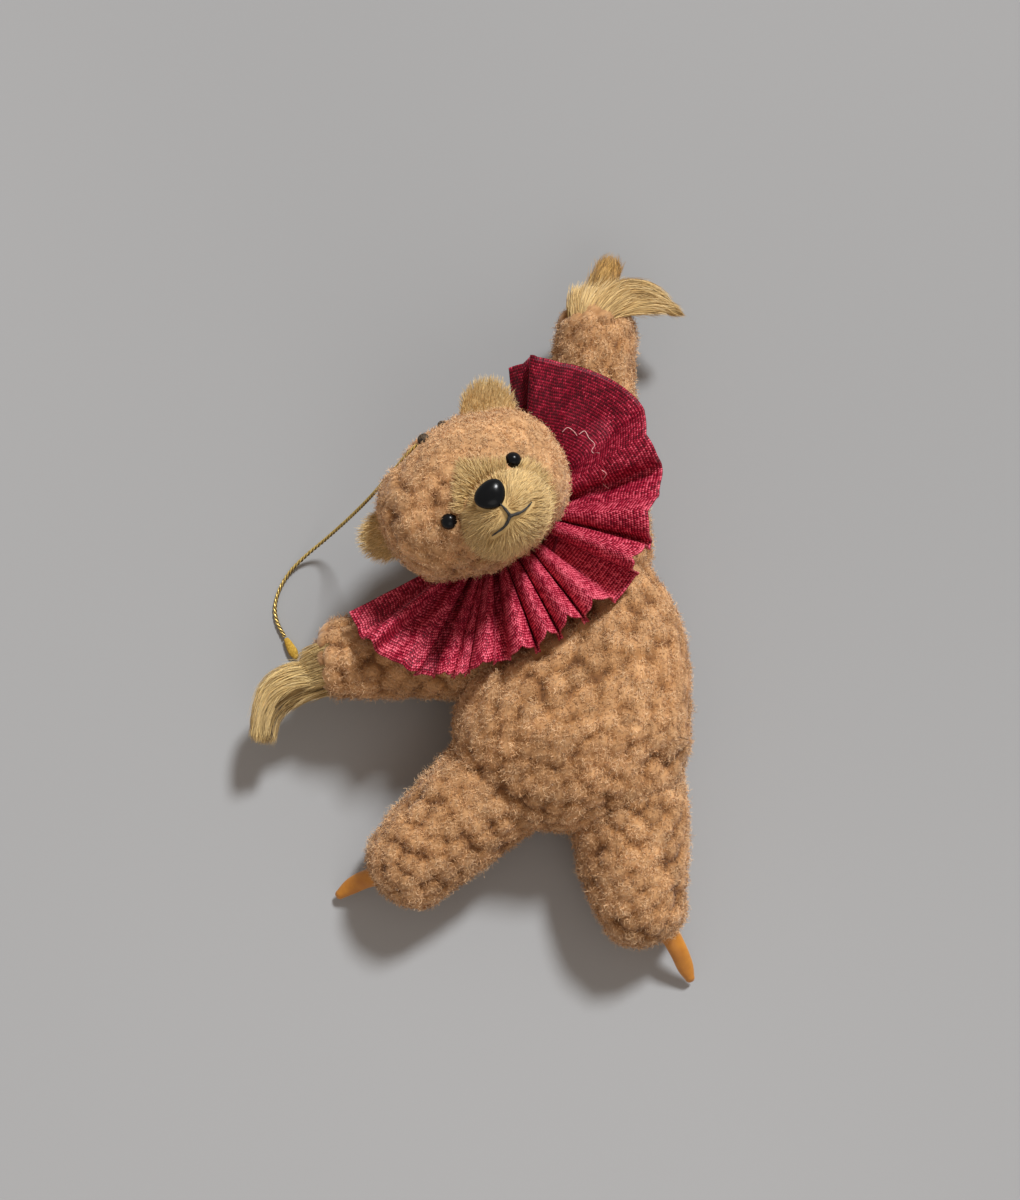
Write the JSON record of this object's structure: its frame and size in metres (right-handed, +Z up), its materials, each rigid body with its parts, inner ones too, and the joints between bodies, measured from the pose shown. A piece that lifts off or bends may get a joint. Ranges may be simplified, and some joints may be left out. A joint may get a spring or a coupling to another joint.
{
  "type": "plush ballerina bear ornament",
  "caption": "Small plush bear in a dancing pose with a pleated ribbon ruff, pointed slippers and a hanging cord; head and limbs hold where they are bent.",
  "frame": {"origin": "centre of the bear's footprint, on the surface that it lies on, the hanging cord left out", "axes": "+Z up out of the face and belly, the short way through the bear lying on its back; +Y along its longest extent, from the pointed slippers to the raised left paw; +X towards the bear's left side"},
  "size_m": [0.0911, 0.1507, 0.0513],
  "materials": {
    "plush": "curly caramel plush",
    "mohair": "short and long cream mohair",
    "stuffing": "loose polyester filling",
    "wire": "annealed armature wire",
    "gloss_black": "polished black",
    "black_thread": "waxed black thread",
    "ribbon": "crisp maroon woven ribbon with a soft sheen",
    "ribbon_thread": "maroon thread",
    "slipper_leather": "smooth orange leather",
    "gold_cord": "metallic gold braid with dark strands",
    "brown_knot": "dark brown thread, tightly knotted",
    "sleeve": "yellow felt wrap"
  },
  "bodies": {
    "torso": {"torso_skin": "plush", "torso_stuffing": "stuffing", "shoulder_wire": "wire", "hip_wire": "wire", "spine_wire": "wire", "ruff": "ribbon", "ruff_gathering_thread": "ribbon_thread"},
    "head": {"head_skin": "plush", "head_stuffing": "stuffing", "head_wire": "wire", "muzzle": "mohair", "nose": "gloss_black", "eye_right": "gloss_black", "eye_left": "gloss_black", "mouth_stitch_centre": "black_thread", "mouth_stitch_right": "black_thread", "mouth_stitch_left": "black_thread", "ear_right": "mohair", "ear_left": "mohair", "cord_knot_front": "brown_knot", "cord_knot_back": "brown_knot", "hang_cord": "gold_cord", "cord_sleeve": "sleeve"},
    "arm_right": {"arm_right_skin": "plush", "arm_right_stuffing": "stuffing", "arm_right_wire": "wire", "paw_right": "mohair"},
    "arm_left": {"arm_left_skin": "plush", "arm_left_stuffing": "stuffing", "arm_left_wire": "wire", "paw_left": "mohair", "paw_left_thumb": "mohair"},
    "leg_right": {"leg_right_skin": "plush", "leg_right_stuffing": "stuffing", "leg_right_wire": "wire", "foot_right": "slipper_leather"},
    "leg_left": {"leg_left_skin": "plush", "leg_left_stuffing": "stuffing", "leg_left_wire": "wire", "foot_left": "slipper_leather"}
  },
  "joints": [
    {"name": "neck_tilt", "type": "hinge", "parent": "torso", "child": "head", "pos_m": [0.007, 0.017, 0.0165], "axis": [0, 0, 1], "range_deg": [-8, 8]},
    {"name": "shoulder_right", "type": "hinge", "parent": "torso", "child": "arm_right", "pos_m": [0.0045, -0.008, 0.0125], "axis": [0, 0, 1], "range_deg": [-14, 5]},
    {"name": "shoulder_left", "type": "hinge", "parent": "torso", "child": "arm_left", "pos_m": [0.027, 0.014, 0.011], "axis": [0, 0, 1], "range_deg": [-20, 6]},
    {"name": "hip_right", "type": "hinge", "parent": "torso", "child": "leg_right", "pos_m": [0.0065, -0.032, 0.01], "axis": [0, 0, 1], "range_deg": [-12, 10]},
    {"name": "hip_left", "type": "hinge", "parent": "torso", "child": "leg_left", "pos_m": [0.0315, -0.039, 0.01], "axis": [0, 0, 1], "range_deg": [-10, 12]}
  ]
}
